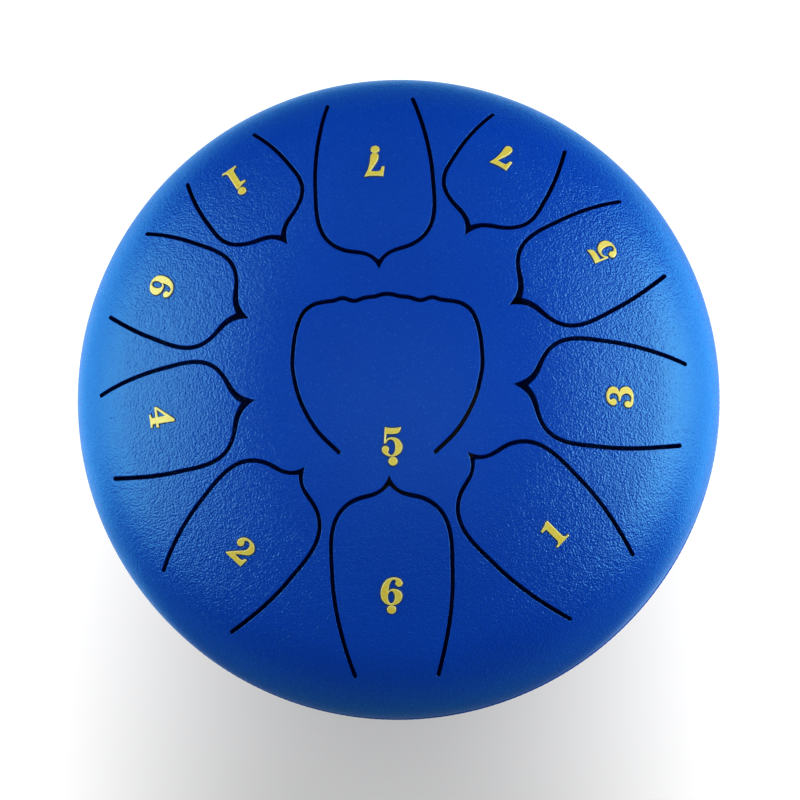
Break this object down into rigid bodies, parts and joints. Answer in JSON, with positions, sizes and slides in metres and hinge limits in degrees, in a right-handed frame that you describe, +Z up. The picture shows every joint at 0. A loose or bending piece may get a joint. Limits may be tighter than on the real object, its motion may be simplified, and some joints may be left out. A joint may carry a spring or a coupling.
{
  "type": "steel tongue drum",
  "caption": "Round steel tongue drum: two dished shells joined at the rim, numbered tongues of graded lengths cut in the dome to ring when struck, and push-in rubber feet.",
  "frame": {"origin": "on the surface the drum stands on, under the middle of the drum", "axes": "+Z up through the dome; -Y towards the player, through tongue low 6, which is at the bottom of the picture; +X to the player's right"},
  "size_m": [0.255, 0.255, 0.141],
  "materials": {
    "paint": "satin royal-blue powder coat with a fine orange-peel grain",
    "numbers": "stamped, gold-coloured, with lighter bevelled edges",
    "feet": "matt black moulded rubber"
  },
  "bodies": {
    "drum": {"top_shell": "paint", "bottom_shell": "paint", "rim_weld": "paint", "foot_front_left": "feet", "foot_front_right": "feet", "foot_rear_left": "feet", "foot_rear_right": "feet"},
    "note_low_5": {"tongue_low_5": "paint", "number_low_5": "numbers"},
    "note_low_6": {"tongue_low_6": "paint", "number_low_6": "numbers"},
    "note_low_7": {"tongue_low_7": "paint", "number_low_7": "numbers"},
    "note_1": {"tongue_1": "paint", "number_1": "numbers"},
    "note_2": {"tongue_2": "paint", "number_2": "numbers"},
    "note_3": {"tongue_3": "paint", "number_3": "numbers"},
    "note_4": {"tongue_4": "paint", "number_4": "numbers"},
    "note_5": {"tongue_5": "paint", "number_5": "numbers"},
    "note_6": {"tongue_6": "paint", "number_6": "numbers"},
    "note_7": {"tongue_7": "paint", "number_7": "numbers"},
    "note_high_1": {"tongue_high_1": "paint", "number_high_1": "numbers"}
  },
  "joints": [
    {"name": "note_low_5_flex", "type": "hinge", "parent": "drum", "child": "note_low_5", "pos_m": [0, -0.0292, 0.13822], "axis": [1, 0, 0], "range_deg": [-0.48, 0.48], "stiffness_Nm_per_rad": 269},
    {"name": "note_low_6_flex", "type": "hinge", "parent": "drum", "child": "note_low_6", "pos_m": [0.00194, -0.11098, 0.11109], "axis": [0.9998, 0.0175, 0], "range_deg": [-0.41, 0.41], "stiffness_Nm_per_rad": 226},
    {"name": "note_low_7_flex", "type": "hinge", "parent": "drum", "child": "note_low_7", "pos_m": [-0.00852, 0.11067, 0.11109], "axis": [-0.9971, -0.0767, 0], "range_deg": [-0.42, 0.42], "stiffness_Nm_per_rad": 234},
    {"name": "note_1_flex", "type": "hinge", "parent": "drum", "child": "note_1", "pos_m": [0.07917, -0.0778, 0.11109], "axis": [0.7009, 0.7133, 0], "range_deg": [-0.43, 0.43], "stiffness_Nm_per_rad": 240},
    {"name": "note_2_flex", "type": "hinge", "parent": "drum", "child": "note_2", "pos_m": [-0.07398, -0.08275, 0.11109], "axis": [0.7455, -0.6665, 0], "range_deg": [-0.46, 0.46], "stiffness_Nm_per_rad": 256},
    {"name": "note_3_flex", "type": "hinge", "parent": "drum", "child": "note_3", "pos_m": [0.11064, -0.0089, 0.11109], "axis": [0.0802, 0.9968, 0], "range_deg": [-0.48, 0.48], "stiffness_Nm_per_rad": 268},
    {"name": "note_4_flex", "type": "hinge", "parent": "drum", "child": "note_4", "pos_m": [-0.10925, -0.01966, 0.11109], "axis": [0.1771, -0.9842, 0], "range_deg": [-0.51, 0.51], "stiffness_Nm_per_rad": 284},
    {"name": "note_5_flex", "type": "hinge", "parent": "drum", "child": "note_5", "pos_m": [0.09613, 0.0555, 0.11109], "axis": [-0.5, 0.866, 0], "range_deg": [-0.53, 0.53], "stiffness_Nm_per_rad": 295},
    {"name": "note_6_flex", "type": "hinge", "parent": "drum", "child": "note_6", "pos_m": [-0.10218, 0.04337, 0.11109], "axis": [-0.3907, -0.9205, 0], "range_deg": [-0.58, 0.58], "stiffness_Nm_per_rad": 321},
    {"name": "note_7_flex", "type": "hinge", "parent": "drum", "child": "note_7", "pos_m": [0.05296, 0.09755, 0.11109], "axis": [-0.8788, 0.4772, 0], "range_deg": [-0.61, 0.61], "stiffness_Nm_per_rad": 341},
    {"name": "note_high_1_flex", "type": "hinge", "parent": "drum", "child": "note_high_1", "pos_m": [-0.06665, 0.08876, 0.11109], "axis": [-0.7997, -0.6004, 0], "range_deg": [-0.65, 0.65], "stiffness_Nm_per_rad": 364}
  ]
}
